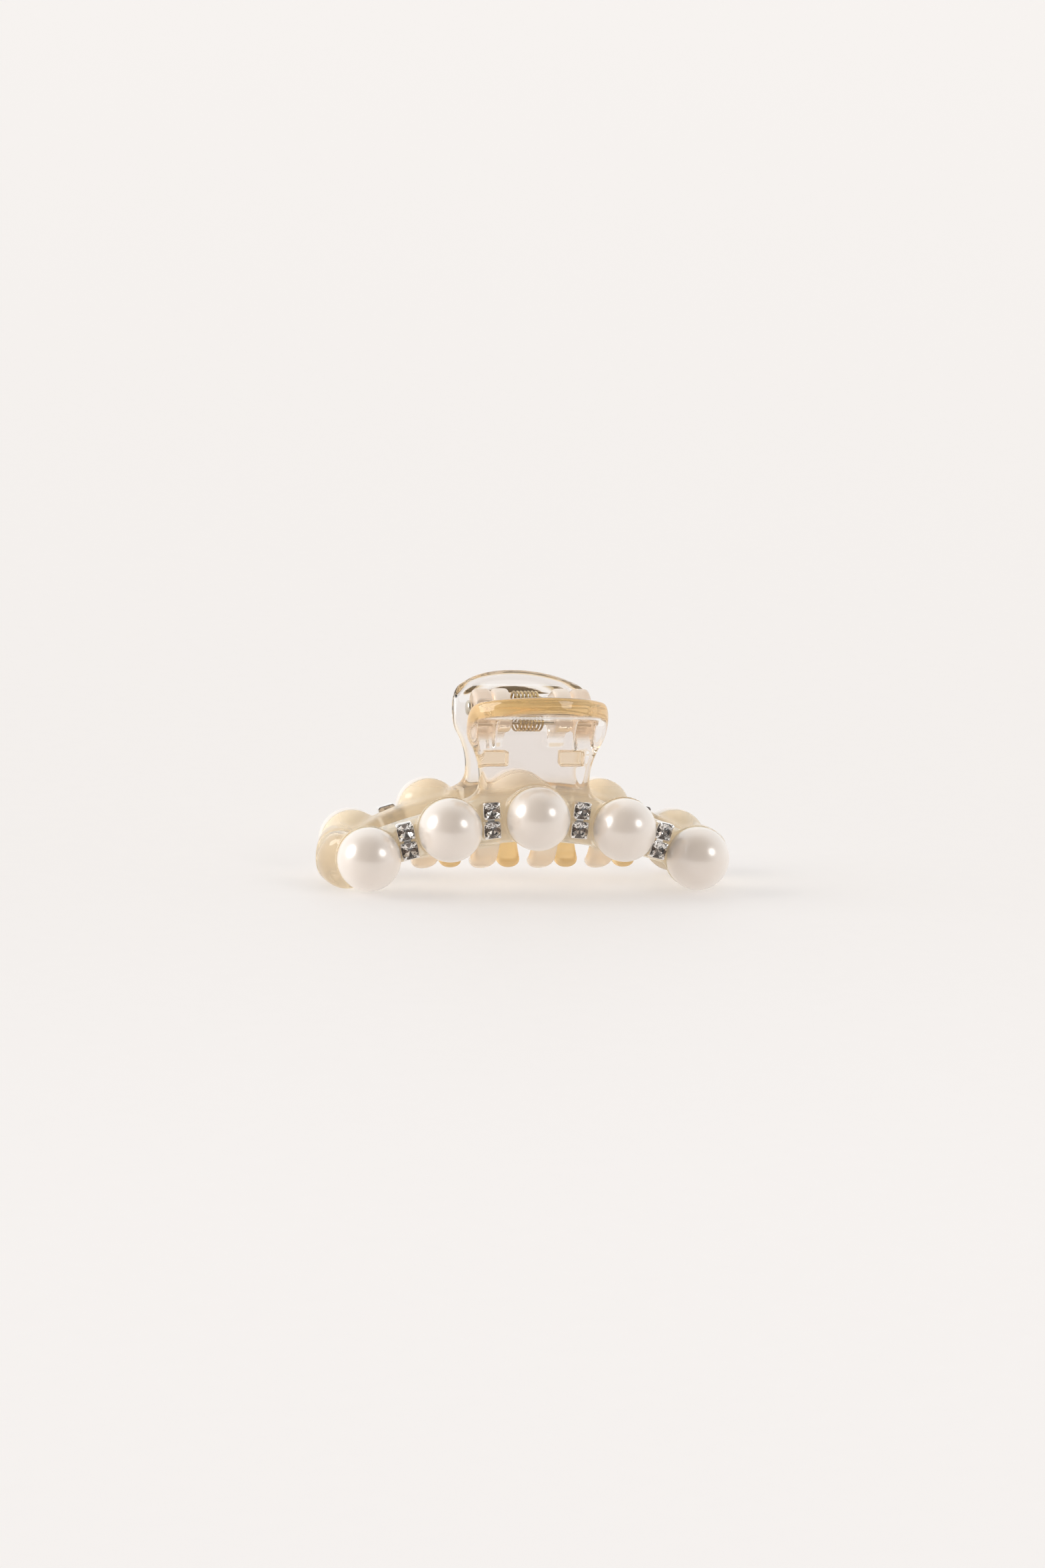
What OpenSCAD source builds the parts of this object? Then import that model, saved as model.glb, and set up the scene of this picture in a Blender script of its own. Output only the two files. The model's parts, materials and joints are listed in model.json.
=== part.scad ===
// Claw hair clip, closed. Two moulded jaws turn on one hinge pin, a torsion
// spring holds them shut, and pearls and set crystals are glued to both faces.
// X runs along the clip, Y is the way the jaws open, Z is up.
// The origin is on the ground, midway between the jaws.

/* [Hinge] */
// height of the hinge axis above the ground
axis_height = 26.9; // [24:0.1:30]
// diameter of the hinge pin
pin_diameter = 1.3; // [1:0.1:2]
// radial play of the pin in the bored lugs
pin_play = 0.05; // [0.03:0.01:0.1]
// diameter of the pin head
pin_head_diameter = 2.3; // [2:0.1:3]
// thickness of the pin head
pin_head_thickness = 0.8; // [0.4:0.1:1]
// radius of the rounded lugs about the hinge axis
lug_radius = 2.9; // [2.5:0.1:3.3]
// inner side of the front jaw's lugs, from the middle
front_lug_inner = 6.25; // [6.2:0.05:7]
// outer side of the front jaw's lugs, from the middle
front_lug_outer = 8.95; // [8.5:0.05:9.5]
// inner side of the rear jaw's lugs, from the middle
rear_lug_inner = 3.4; // [3.2:0.05:4]
// outer side of the rear jaw's lugs, from the middle
rear_lug_outer = 6.05; // [5.5:0.05:6.1]

/* [Band] */
// height of the middle pearl's centre
arch_height = 11.6; // [11.2:0.1:12.4]
// radius of the arch that the pearls sit on
arch_radius = 54; // [52:0.5:58]
// height of the band above the arch line
band_above = 2.5; // [2:0.1:3.5]
// height of the band's lower edge in the middle
band_bottom = 7.5; // [6:0.1:8.5]
// radius of the band's lower edge
bottom_radius = 65; // [50:1:80]
// distance from the middle plane to the band's inner face
inner_face = 3.5; // [3:0.1:4.5]
// distance from the middle plane to the band's outer face
outer_face = 6.8; // [6:0.1:7.5]
// half the gap between the closed band ends
half_gap = 0.08; // [0.05:0.01:0.2]
// distance from the middle to the centre of each end lobe
lobe_centre = 28.2; // [27:0.1:29]
// radius of each end lobe
lobe_radius = 4.2; // [3.5:0.1:4.5]

/* [Tab] */
// thickness of the neck
neck_thickness = 2.4; // [2:0.1:3]
// half the narrowest width of the neck
neck_half_width = 8.5; // [7.5:0.1:9.5]
// half the width of the finger tab
tab_half_width = 10.9; // [10.3:0.1:11.6]
// height at which the finger tab starts to curl outward
curl_height = 23; // [22.6:0.1:23.4]

/* [Teeth] */
// distance between the teeth of one jaw
tooth_pitch = 9; // [8:0.25:10]
// width of each tooth
tooth_width = 3.7; // [3:0.1:4]
// thickness of each tooth
tooth_thickness = 1.9; // [1.5:0.1:2.5]
// height of the tooth tips above the ground
tooth_bottom = 1.95; // [1.5:0.05:3]

/* [Pearls] */
// diameter of each pearl
pearl_diameter = 9.6; // [9:0.1:10]
// outer diameter of the moulded cup behind each pearl
cup_diameter = 10.1; // [10:0.1:10.6]
// distance from the middle to the second pearl
pearl_second = 13.4; // [13:0.1:13.8]
// distance from the middle to the end pearl
pearl_end = 25.35; // [25.3:0.05:25.8]
// how far the middle pearls stand out from the middle plane
pearl_out = 8.65; // [8:0.05:9]
// how far the end pearls stand out from the middle plane
pearl_end_out = 7.5; // [7:0.05:8]

/* [Crystals] */
// distance from the middle to the inner crystal pairs
pair_inner = 6.85; // [6.4:0.05:7]
// distance from the middle to the outer crystal pairs
pair_outer = 19.45; // [19.1:0.05:19.45]
// width of each square metal cup
setting_width = 2.65; // [2.4:0.05:2.7]
// distance between the two stones of a pair
stone_spacing = 2.95; // [2.8:0.05:3.2]
// diameter of each stone
stone_diameter = 2.45; // [2:0.05:2.5]

/* [Spring] */
// diameter of the spring wire
wire_diameter = 0.5; // [0.4:0.05:0.55]
// outer diameter of the spring coil
coil_diameter = 5.4; // [4.8:0.1:5.8]
// number of turns
coil_turns = 8; // [6:1:8]
// distance between neighbouring turns
coil_pitch = 0.57; // [0.57:0.01:0.65]
// distance of the coil to the left of the middle
coil_offset = 0.6; // [0:0.1:0.8]

/* [Hidden] */
play = 0.02;
arch_centre = arch_height - arch_radius;
pearl_radius = pearl_diameter / 2;
cup_radius = cup_diameter / 2;
cup_rim = 1.4;
cup_seat = 0.25;

lobe_set_back = 0.9;
end_round = 0.8;
end_start = 26.5;
face_radius = 56.5;
face_start = 14;
inner_radius = 44;
inner_start = 12;

neck_foot = 9;
curl_radius = 6.8;
curl_out = inner_face + curl_radius;
bend_height = curl_height - 0.3;
bend_radius = curl_radius - neck_thickness;
tip_lean = 18;
tip_reach = 21.5;
tab_side = 5.7;
tab_shoulder = 12.7;
tab_lean = tab_half_width - tab_side;
shoulder_height = 25.8;
waist_height = 16.8;
flare_radius = 3;
overlap = 0.3;

tooth_centre = 1.6;
tooth_arc = 7.15;
rib_start = 4.1;
rib_size = [3.5, 2.4, 2];
rib_drop = 8;

pair_lean = 0.7;
cup_height = 1.15;
girdle_height = 0.95;
prong_width = 0.44;
prong_height = 0.6;
link_size = [1.1, 0.4, 0.8];

coil_radius = (coil_diameter - wire_diameter) / 2;

function arch_z(x) = arch_centre + sqrt(arch_radius * arch_radius - x * x);
function face_drop(x) = x <= face_start ? 0
    : face_radius - sqrt(face_radius * face_radius - pow(x - face_start, 2));

pearl_x = [-pearl_end, -pearl_second, 0, pearl_second, pearl_end];
pearl_y = [pearl_end_out, pearl_out, pearl_out, pearl_out, pearl_end_out];
pair_x = [-pair_outer, -pair_inner, pair_inner, pair_outer];

// ---- placing helpers ----

// a jaw is drawn opening toward +Y; the front one is turned half round
module front_side() {
  rotate([0, 0, 180]) children();
}

// a shape drawn in (x, z) and given depth from y0 to y1
module deep(y0, y1) {
  translate([0, y1, 0]) rotate([90, 0, 0]) linear_extrude(height = y1 - y0) children();
}

// a shape drawn in (y, z) and given length from x0 to x1
module long(x0, x1) {
  translate([x0, 0, 0]) rotate([90, 0, 90]) linear_extrude(height = x1 - x0) children();
}

module both_sides() {
  children();
  mirror([1, 0, 0]) children();
}

module both_flat() {
  children();
  mirror([1, 0]) children();
}

// puts a crystal pair's own axes on the band: x across, y outward, z along the pair
module on_pair(i) {
  x = pair_x[i];
  side = x < 0 ? -1 : 1;
  turn = asin(max(0, abs(x) - face_start) / face_radius);
  translate([x, outer_face - face_drop(abs(x)) - cup_seat, arch_z(x)])
    rotate([0, 0, -side * turn])
      rotate([0, pair_lean * asin(x / arch_radius), 0])
        children();
}

// ---- one jaw, opening toward +Y ----

// outline of the band seen from the outside
module band_outline() {
  difference() {
    intersection() {
      translate([0, arch_centre]) circle(r = arch_radius + band_above, $fn = 180);
      translate([-lobe_centre, 0]) square([2 * lobe_centre, 20]);
    }
    translate([0, band_bottom - bottom_radius]) circle(r = bottom_radius, $fn = 180);
  }
  translate([-lobe_centre, lobe_radius]) circle(r = lobe_radius, $fn = 64);
  translate([lobe_centre, lobe_radius]) circle(r = lobe_radius, $fn = 64);
}

// everything on the inner side of the band's outer face, seen from above
module under_outer_face() {
  translate([-face_start, 0]) square([2 * face_start, outer_face]);
  translate([face_start, outer_face - face_radius]) circle(r = face_radius, $fn = 180);
  translate([-face_start, outer_face - face_radius]) circle(r = face_radius, $fn = 180);
}

// everything on the inner side of the band's inner face, seen from above
module under_inner_face() {
  translate([-inner_start, -1]) square([2 * inner_start, inner_face + 1]);
  translate([inner_start, inner_face - inner_radius]) circle(r = inner_radius, $fn = 180);
  translate([-inner_start, inner_face - inner_radius]) circle(r = inner_radius, $fn = 180);
}

// the rounded ends of the band, seen from above
module end_limit() {
  translate([-lobe_centre, half_gap]) square([2 * lobe_centre, 10]);
  intersection() {
    union() {
      translate([lobe_centre, lobe_set_back]) circle(r = lobe_radius, $fn = 64);
      translate([-lobe_centre, lobe_set_back]) circle(r = lobe_radius, $fn = 64);
    }
    translate([-40, half_gap]) square([80, 10]);
  }
}

module band() {
  intersection() {
    deep(0, 9) band_outline();
    linear_extrude(height = 20) difference() {
      intersection() {
        under_outer_face();
        end_limit();
      }
      under_inner_face();
    }
    union() {
      translate([-end_start, -1, -1]) cube([2 * end_start, 12, 25]);
      both_sides() translate([lobe_centre, lobe_set_back, lobe_radius])
        sphere(r = lobe_radius + end_round, $fn = 72);
    }
  }
}

// everything below a curl that runs out into a straight leaning lip
module under_curl(height, radius) {
  translate([curl_out, height]) {
    circle(r = radius, $fn = 120);
    rotate(tip_lean) translate([0, -20]) square([20, 20 + radius - 0.02]);
  }
}

// neck and curled finger tab seen from the side
module tab_profile() {
  translate([inner_face, neck_foot]) square([neck_thickness, bend_height - neck_foot]);
  difference() {
    under_curl(curl_height, curl_radius);
    under_curl(bend_height, bend_radius);
    square([40, bend_height]);
  }
}

// neck outline seen from the outside, open above the shoulders
module neck_outline() {
  round_r = tab_side + overlap;
  rise = shoulder_height - waist_height;
  narrow = neck_half_width - tab_lean;
  waist_r = (rise * rise + narrow * narrow - round_r * round_r) / (2 * (round_r - narrow));
  reach = waist_r + round_r;
  meet_x = tab_lean + round_r * (narrow + waist_r) / reach;
  meet_z = shoulder_height - round_r * rise / reach;
  flare_x = neck_half_width + flare_radius;
  flare_z = waist_height - overlap;
  difference() {
    translate([-meet_x, flare_z]) square([2 * meet_x, meet_z - flare_z]);
    both_flat() translate([neck_half_width + waist_r, waist_height])
      circle(r = waist_r, $fn = 120);
  }
  translate([-tab_lean, shoulder_height - 3]) square([2 * tab_lean, 3.2]);
  both_flat() translate([tab_lean, shoulder_height]) circle(r = round_r, $fn = 64);
  translate([-tab_half_width - 1, shoulder_height - 0.6]) square([2 * tab_half_width + 2, 12]);
  difference() {
    translate([-flare_x, neck_foot]) square([2 * flare_x, flare_z - neck_foot]);
    both_flat() translate([flare_x, flare_z]) circle(r = flare_radius, $fn = 48);
  }
}

// finger tab outline, drawn across the tab where it leans outward
module tab_outline() {
  rise = tip_reach - tab_shoulder;
  top = (tab_lean * tab_lean + rise * rise - tab_side * tab_side)
    / (2 * (rise - tab_side)) - 0.25;
  top_half = 0.93 * tab_lean * top / (top - tab_side);
  translate([-tab_half_width, -20]) square([2 * tab_half_width, 20 + tab_shoulder]);
  both_flat() translate([tab_lean, tab_shoulder]) circle(r = tab_side, $fn = 64);
  intersection() {
    translate([0, tip_reach - top]) circle(r = top, $fn = 120);
    translate([-top_half, tab_shoulder - 1]) square([2 * top_half, 20]);
  }
}

module tab() {
  intersection() {
    long(-tab_half_width - 2, tab_half_width + 2) tab_profile();
    deep(0, 20) neck_outline();
    // the outline runs out and up along the leaning tip
    rotate([tip_lean, 0, 0]) translate([0, 0, -60])
      linear_extrude(height = 120) tab_outline();
  }
}

// one lug: a round eye on the hinge axis with a web down to the neck
module lug(x0, x1) {
  long(x0, x1) {
    translate([0, axis_height]) circle(r = lug_radius, $fn = 64);
    polygon([
      [0, axis_height + lug_radius],
      [1.3, axis_height + lug_radius - 0.3],
      [5.75, axis_height + 0.5],
      [4.4, axis_height - 3],
      [3.9, axis_height - 6.2],
      [3.3, axis_height - 6.2],
      [1, axis_height - lug_radius + 0.17],
      [0, axis_height - lug_radius]
    ]);
  }
}

// one tooth: a finger bending inward, with a rounded tip
module tooth(x) {
  half = tooth_width / 2;
  z0 = tooth_bottom + tooth_arc;
  intersection() {
    long(x - half, x + half) intersection() {
      difference() {
        translate([-tooth_centre, z0]) circle(r = tooth_arc, $fn = 96);
        translate([-tooth_centre, z0]) circle(r = tooth_arc - tooth_thickness, $fn = 96);
      }
      polygon([[-tooth_centre, z0], [0, z0 - 9], [8, z0 - 9], [8, z0]]);
    }
    deep(-3, 8) union() {
      translate([x, tooth_bottom + half]) circle(r = half, $fn = 48);
      translate([x - half, tooth_bottom + half]) square([tooth_width, 9]);
    }
  }
}

// moulded cup behind a pearl
module cup(i) {
  x = pearl_x[i];
  y = pearl_y[i];
  intersection() {
    translate([x, y, arch_z(x)]) sphere(r = cup_radius, $fn = 72);
    translate([-40, half_gap, 0]) cube([80, y - cup_rim - half_gap, 30]);
  }
}

module jaw(lug_x0, lug_x1, ribs) {
  difference() {
    union() {
      band();
      tab();
      both_sides() lug(lug_x0, lug_x1);
      for (k = [0 : 3]) tooth(1.75 * tooth_pitch - k * tooth_pitch);
      for (i = [0 : 4]) cup(i);
      if (ribs) both_sides()
        translate([rib_start, inner_face - rib_size[1] + 0.2, axis_height - rib_drop])
          cube(rib_size);
    }
    for (i = [0 : 4])
      translate([pearl_x[i], pearl_y[i], arch_z(pearl_x[i])])
        sphere(r = pearl_radius + play, $fn = 72);
    for (i = [0 : 3]) on_pair(i) translate([
        -setting_width / 2 - play, -play,
        -(stone_spacing + setting_width) / 2 - play
      ])
        cube([setting_width + 2 * play, 4, stone_spacing + setting_width + 2 * play]);
    translate([-15, 0, axis_height]) rotate([0, 90, 0])
      cylinder(r = pin_diameter / 2 + pin_play, h = 30, $fn = 48);
  }
}

// ---- the separate pieces ----

module front_jaw() {
  color([0.93, 0.83, 0.70, 0.6]) front_side() jaw(front_lug_inner, front_lug_outer, true);
}

module rear_jaw() {
  color([0.93, 0.83, 0.70, 0.6]) jaw(rear_lug_inner, rear_lug_outer, false);
}

// pin with a formed head at the left and a peened end at the right
module hinge_pin() {
  left = -front_lug_outer - 0.15;
  right = front_lug_outer + 0.15;
  color([0.72, 0.66, 0.56]) translate([0, 0, axis_height]) rotate([0, 90, 0]) {
    translate([0, 0, left - 0.1]) cylinder(d = pin_diameter, h = right - left + 0.8, $fn = 48);
    translate([0, 0, left - pin_head_thickness])
      cylinder(d = pin_head_diameter, h = pin_head_thickness, $fn = 48);
    translate([0, 0, right]) cylinder(d = pin_diameter + 0.5, h = 0.35, $fn = 48);
  }
}

// one ball pearl, numbered from the left as seen from its own jaw's outside in front view
module pearl(i) {
  x = pearl_x[i];
  color([0.96, 0.93, 0.90])
    translate([x, pearl_y[i], arch_z(x)]) sphere(r = pearl_radius, $fn = 72);
}

// two square cups with four prongs each, joined by a short link
module setting(i) {
  w = setting_width;
  color([0.80, 0.80, 0.82]) on_pair(i) {
    for (s = [-1, 1]) translate([0, 0, s * stone_spacing / 2]) {
      difference() {
        translate([-w / 2, 0, -w / 2]) cube([w, cup_height, w]);
        translate([0, 0.3, 0]) rotate([-90, 0, 0])
          cylinder(r = stone_diameter / 2 - 0.1, h = 2, $fn = 36);
        translate([0, girdle_height, 0]) rotate([-90, 0, 0])
          cylinder(r = stone_diameter / 2 + play, h = 2, $fn = 36);
      }
      for (a = [0, 1]) for (b = [0, 1])
        translate([a * (w - prong_width) - w / 2, cup_height - 0.1, b * (w - prong_width) - w / 2])
          cube([prong_width, prong_height, prong_width]);
    }
    translate([-link_size[0] / 2, 0, -link_size[2] / 2]) cube(link_size);
  }
}

// one cut stone: a pointed back, a girdle and a flat-topped crown
module crystal(i, s) {
  r = stone_diameter / 2;
  back = r - 0.2;
  color([0.90, 0.92, 0.95]) on_pair(i)
    translate([0, 0, s * stone_spacing / 2]) rotate([-90, 0, 0]) {
      translate([0, 0, 0.45]) cylinder(r1 = 0.25, r2 = back, h = 0.52, $fn = 12);
      translate([0, 0, 0.97]) cylinder(r1 = back, r2 = r, h = 0.18, $fn = 12);
      translate([0, 0, 1.15]) cylinder(r = r, h = 0.12, $fn = 12);
      translate([0, 0, 1.27]) cylinder(r1 = r, r2 = r * 0.56, h = 0.5, $fn = 12);
    }
}

// ---- torsion spring: one round wire, coil about the hinge axis, two legs ----

leg_y = 5.3;
leg_z = 1.2;
turn_steps = 24;
leg_reach = sqrt(leg_y * leg_y + leg_z * leg_z);
leg_angle = 180 - atan(leg_z / leg_y) - acos(coil_radius / leg_reach);
coil_sweep = 360 * (coil_turns - 1) + 180 - 2 * leg_angle;
coil_steps = turn_steps * (coil_turns - 1);
coil_half = coil_pitch * coil_sweep / 720;

function coil_point(k) =
    let (a = leg_angle - coil_sweep * k / coil_steps)
    [2 * coil_half * k / coil_steps - coil_half, coil_radius * cos(a), coil_radius * sin(a)];

wire_path = concat(
  [[-coil_half, -leg_y, leg_z]],
  [for (k = [0 : coil_steps]) coil_point(k)],
  [[coil_half, leg_y, leg_z]]
);

function unit(v) = v / norm(v);
function tangent(k) = k == 0 ? unit(wire_path[1] - wire_path[0])
    : k == len(wire_path) - 1 ? unit(wire_path[k] - wire_path[k - 1])
    : unit(unit(wire_path[k + 1] - wire_path[k]) + unit(wire_path[k] - wire_path[k - 1]));
function side_of(k) = unit([1, 0, 0] - tangent(k)[0] * tangent(k));

module torsion_spring() {
  sides = 10;
  n = len(wire_path);
  points = [for (k = [0 : n - 1]) for (j = [0 : sides - 1])
      wire_path[k] + wire_diameter / 2 * (cos(360 * j / sides) * side_of(k)
        + sin(360 * j / sides) * cross(tangent(k), side_of(k)))];
  walls = [for (k = [0 : n - 2]) for (j = [0 : sides - 1])
      [k * sides + j, k * sides + (j + 1) % sides,
        (k + 1) * sides + (j + 1) % sides, (k + 1) * sides + j]];
  caps = [
    [for (j = [sides - 1 : -1 : 0]) j],
    [for (j = [0 : sides - 1]) (n - 1) * sides + j]
  ];
  color([0.75, 0.70, 0.58]) translate([-coil_offset, 0, axis_height])
    polyhedron(points = points, faces = concat(walls, caps), convexity = 10);
}

// ---- drawing ----

front_jaw();
rear_jaw();
hinge_pin();
torsion_spring();
front_side() pearl(4);  // front_pearl_1
front_side() pearl(3);  // front_pearl_2
front_side() pearl(2);  // front_pearl_3
front_side() pearl(1);  // front_pearl_4
front_side() pearl(0);  // front_pearl_5
pearl(0);  // rear_pearl_1
pearl(1);  // rear_pearl_2
pearl(2);  // rear_pearl_3
pearl(3);  // rear_pearl_4
pearl(4);  // rear_pearl_5
front_side() setting(3);  // front_setting_1
front_side() setting(2);  // front_setting_2
front_side() setting(1);  // front_setting_3
front_side() setting(0);  // front_setting_4
setting(0);  // rear_setting_1
setting(1);  // rear_setting_2
setting(2);  // rear_setting_3
setting(3);  // rear_setting_4
front_side() crystal(3, 1);  // front_crystal_1_upper
front_side() crystal(3, -1);  // front_crystal_1_lower
front_side() crystal(2, 1);  // front_crystal_2_upper
front_side() crystal(2, -1);  // front_crystal_2_lower
front_side() crystal(1, 1);  // front_crystal_3_upper
front_side() crystal(1, -1);  // front_crystal_3_lower
front_side() crystal(0, 1);  // front_crystal_4_upper
front_side() crystal(0, -1);  // front_crystal_4_lower
crystal(0, 1);  // rear_crystal_1_upper
crystal(0, -1);  // rear_crystal_1_lower
crystal(1, 1);  // rear_crystal_2_upper
crystal(1, -1);  // rear_crystal_2_lower
crystal(2, 1);  // rear_crystal_3_upper
crystal(2, -1);  // rear_crystal_3_lower
crystal(3, 1);  // rear_crystal_4_upper
crystal(3, -1);  // rear_crystal_4_lower
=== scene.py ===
"""Claw hair clip: champagne plastic jaws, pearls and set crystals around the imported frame."""

import json
import math
from functools import cache

import bmesh
import bpy
import numpy as np
from mathutils import Matrix, Vector, noise


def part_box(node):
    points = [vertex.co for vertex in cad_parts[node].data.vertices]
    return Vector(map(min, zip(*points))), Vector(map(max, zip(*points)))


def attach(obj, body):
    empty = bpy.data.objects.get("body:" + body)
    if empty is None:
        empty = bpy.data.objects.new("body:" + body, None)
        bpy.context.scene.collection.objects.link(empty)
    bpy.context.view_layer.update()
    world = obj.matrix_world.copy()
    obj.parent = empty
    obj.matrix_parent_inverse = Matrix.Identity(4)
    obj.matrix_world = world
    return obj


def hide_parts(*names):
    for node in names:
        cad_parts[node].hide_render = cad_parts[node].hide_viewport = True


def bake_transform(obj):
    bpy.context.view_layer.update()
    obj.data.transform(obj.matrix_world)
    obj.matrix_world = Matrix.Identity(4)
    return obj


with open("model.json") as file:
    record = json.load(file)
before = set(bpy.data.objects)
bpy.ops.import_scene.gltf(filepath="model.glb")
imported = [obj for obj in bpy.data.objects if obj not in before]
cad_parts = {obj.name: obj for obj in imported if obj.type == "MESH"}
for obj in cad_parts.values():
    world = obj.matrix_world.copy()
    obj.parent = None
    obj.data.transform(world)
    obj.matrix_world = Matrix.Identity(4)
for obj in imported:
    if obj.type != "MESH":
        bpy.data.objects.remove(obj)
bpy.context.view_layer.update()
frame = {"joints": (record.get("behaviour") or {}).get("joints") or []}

MM = 0.001

# ---- sizes of the jaws in mm, drawn opening toward +Y as in the frame's source ----

AXIS_Z = frame["joints"][0]["pos_m"][2] / MM

# lugs: their inner and outer sides from the middle, and their web from the hinge axis in y and z
LUG_RADIUS = 2.9
FRONT_LUGS = (6.25, 8.95)
REAR_LUGS = (3.4, 6.05)
BORE_RADIUS = 0.7
WEB_OUTLINE = [
    (0, 2.8), (1.3, 2.6), (5.75, 0.5), (4.4, -3),
    (3.9, -6.2), (3.3, -6.2), (1, -2.73), (0, -2.8),
]

# band: arched in front view, with faces that bend back toward its ends, and round end lobes
ARCH_TOP = 11.6
ARCH_RADIUS = 54
ARCH_CENTRE = ARCH_TOP - ARCH_RADIUS
BAND_ABOVE = 2.5
BAND_BOTTOM = 7.5
BOTTOM_RADIUS = 65
INNER_FACE = 3.5
OUTER_FACE = 6.8
HALF_GAP = 0.08
LOBE_CENTRE = 28.2
LOBE_RADIUS = 4.2
FACE_RADIUS = 56.5
FACE_START = 14
INNER_RADIUS = 44
INNER_START = 12

# neck: its sides flare at the foot, draw in at the waist and widen to the tab's shoulders
NECK_THICKNESS = 2.4
NECK_HALF = 8.5
NECK_FOOT_Z = 9
NECK_SIDE_SLOPE = 0.9
WAIST_Z = 16.8
FLARE_R = 3
FLARE_X = NECK_HALF + FLARE_R
FLARE_Z = WAIST_Z - 0.3

# finger tab: it curls outward from the neck and ends in a straight leaning tip
TAB_HALF = 10.9
CURL_Z = 23
CURL_RADIUS = 6.8
CURL_OUT = INNER_FACE + CURL_RADIUS
BEND_Z = CURL_Z - 0.3
BEND_RADIUS = CURL_RADIUS - NECK_THICKNESS
TIP_LEAN = math.radians(18)
TIP_REACH = 21.5
TIP_ARC_TIGHTER = 0.25
TIP_ARC_SHARE = 0.93
TAB_SIDE = 5.7
TAB_SHOULDER = 12.7
TAB_LEAN = TAB_HALF - TAB_SIDE
SHOULDER_Z = 25.8
SHOULDER_R = TAB_SIDE + 0.3

# ribs: two small bars on the hinge side of the front neck
RIB_X = 5.85
RIB_HALF_WIDTH = 1.75
RIB_Z = 19.9
RIB_HALF_HEIGHT = 1
RIB_Y = (1.3, 3.7)

# teeth: slices of a ring, with its centre in y and z, cut off at a lean and rounded below
TOOTH_X = (15.75, 6.75, -2.25, -11.25)
TOOTH_HALF = 1.95
TOOTH_ARC = (-1.6, 9.1)
TOOTH_RADIUS = 6.2
TOOTH_THICK = 0.95
TOOTH_LEAN = math.atan2(1.6, 9)
TOOTH_TIP_Z = 4.6
TOOTH_TIP_ROUND = 0.75

# fillets, where two shapes of a jaw meet
LOBE_FILLET = 0.9
NECK_FILLET = 1.6
WEB_FILLET = 0.5
LUG_FILLET = 0.6
TOOTH_FILLET = 0.7
RIB_FILLET = 0.4
CUP_FILLET = 0.7

# rounding of a jaw's edges
BAND_END_ROUND = 5.0
BAND_EDGE_ROUND = 1.5
BAND_INNER_ROUND = 1.0
GAP_ROUND = 0.35
NECK_ROUND = 1.1
TAB_ROUND = 0.9
TAB_CORNER_ROUND = 0.3
LUG_ROUND = 0.8
TOOTH_END_ROUND = 0.9
TOOTH_SIDE_ROUND = 0.8
CUP_RIM_ROUND = 0.15
CAVITY_ROUND = 0.12

# grid of the jaws' distance field
GRID_STEP = 0.22
GRID_LOW = (-33.1, -3.4, -0.4)
GRID_HIGH = (33.1, 13.8, 32.4)

# ---- pearls in mm ----

# the moulded cup: its ball, its cavity, and how far its rim and the coat's edge lie behind the
# pearl's middle
CUP_RADIUS = 5.05
CAVITY_RADIUS = 4.5
CUP_RIM = 1.4
COAT_EDGE = 0.8
# the ball's rings, then its size and its unevenness as shares of the frame's radius
PEARL_POLE = math.radians(89)
BACK_RINGS = 22
FRONT_RINGS = 30
PEARL_COUNT = 80
PEARL_SHARE = 0.9975
WAVE_SHARE = 0.0022
WAVE_SCALE = 2.3
WAVE_SPREAD = 300

# ---- crystals and their cups in mm ----

PAIR_X = (6.85, 19.45)
PAIR_LEAN = 0.7
CUP_SEAT = 0.25
SEAT_PLAY = 0.02
SETTING_WIDTH = 2.65
SETTING_HALF = SETTING_WIDTH / 2
STONE_SPACING = 2.95
STONE_RADIUS = 1.225

# one cup from its back to the bottom of its seat: half width, squareness and height
CUP_PROFILE = (
    (SETTING_HALF - 0.10, 1, 0.0),
    (SETTING_HALF, 1, 0.10),
    (SETTING_HALF, 1, 0.98),
    (SETTING_HALF - 0.04, 1, 1.10),
    (SETTING_HALF - 0.12, 1, 1.15),
    (STONE_RADIUS + 0.03, 0.15, 1.15),
    (STONE_RADIUS + 0.01, 0, 1.05),
    (STONE_RADIUS + 0.01, 0, 0.95),
    (STONE_RADIUS - 0.10, 0, 0.93),
    (STONE_RADIUS - 0.10, 0, 0.32),
)

# one prong from its foot to its tip: distance in from the cup's corner, height and half width
PRONG_PATH = (
    (0.30, 0.75, 0.24), (0.22, 1.05, 0.24), (0.20, 1.28, 0.23),
    (0.26, 1.46, 0.21), (0.42, 1.56, 0.17), (0.60, 1.57, 0.11),
)
PRONG_COUNT = 10
PRONG_DEPTH = 0.11
PRONG_TILT = 0.05
DIAGONAL = 0.7071

LINK_HALF = 0.55
LINK_SQUARENESS = 0.8
LINK_HEIGHTS = (0.02, 0.06, 0.36, 0.4)
SOFT_EDGE = 0.03
BACK_FACING = 0.7

# a stone's rings of corners: share of its radius and height
TABLE = (0.56, 1.76)
KITES = (0.80, 1.54)
GIRDLE_TOP = (1, 1.27)
GIRDLE_FOOT = (1, 1.16)
MAINS = (0.56, 0.80)
STONE_TIP_Z = 0.42
FACETS = 8
GIRDLE_FACETS = 2 * FACETS

# ---- hinge pin and spring in mm ----

PIN_RADIUS = 0.65
TURNED_COUNT = 40
# the head, as distance from its end and share of its radius, then the step to the shaft
HEAD_PROFILE = (
    (0.01, 0.25), (0.03, 0.5), (0.10, 0.75), (0.24, 0.93), (0.42, 1), (0.68, 0.98), (0.77, 0.9),
)
HEAD_FOOT = ((0.8, PIN_RADIUS + 0.1), (0.84, PIN_RADIUS))
# the peened end, as distance from the end and radius
PEEN_PROFILE = (
    (0.62, PIN_RADIUS), (0.55, 0.82), (0.45, 0.88), (0.25, 0.80), (0.10, 0.60), (0.02, 0.30),
)

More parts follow.
